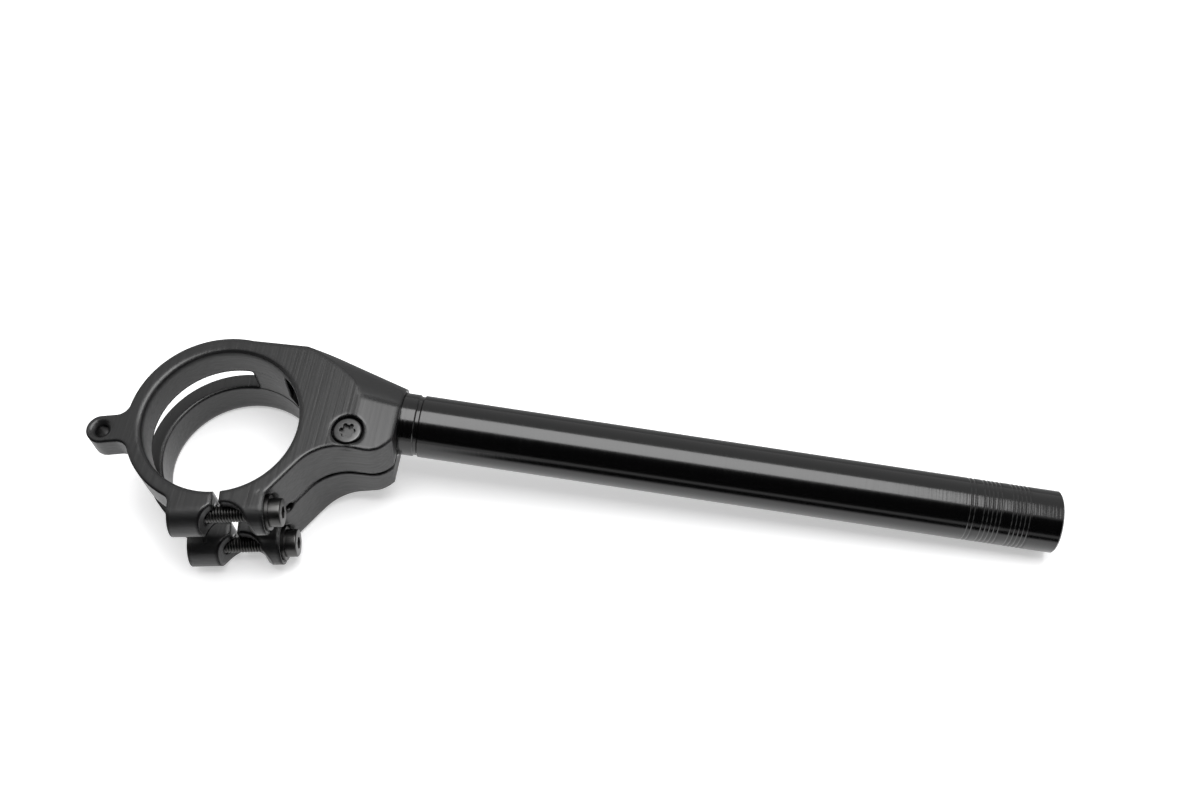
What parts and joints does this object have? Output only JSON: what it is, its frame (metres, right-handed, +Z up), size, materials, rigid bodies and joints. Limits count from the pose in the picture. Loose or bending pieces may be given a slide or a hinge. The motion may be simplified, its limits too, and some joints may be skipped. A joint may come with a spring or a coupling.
{
  "type": "clip on handlebar",
  "caption": "Black clip-on handlebar: a split two-band fork clamp with scalloped ears, a side tab and a blended arm that pinches a drooping round bar tube.",
  "frame": {"origin": "on the fork bore's axis, at the middle of the clamp's height", "axes": "+Z up the fork bore, out of the face with the sunk screw; +X towards the bar, across the bore; +Y away from the clamp's ears"},
  "size_m": [0.3365, 0.0741, 0.0502],
  "materials": {
    "anodised_body": "satin black anodised",
    "anodised_bar": "semi-gloss black anodised",
    "black_steel": "black oxide",
    "bright_black_steel": "polished black oxide"
  },
  "bodies": {
    "root": {"clamp_body": "anodised_body", "bar_tube": "anodised_bar", "upper_clamp_screw": "black_steel", "lower_clamp_screw": "black_steel", "upper_washer": "black_steel", "lower_washer": "black_steel", "bar_pinch_screw": "bright_black_steel"}
  },
  "joints": []
}
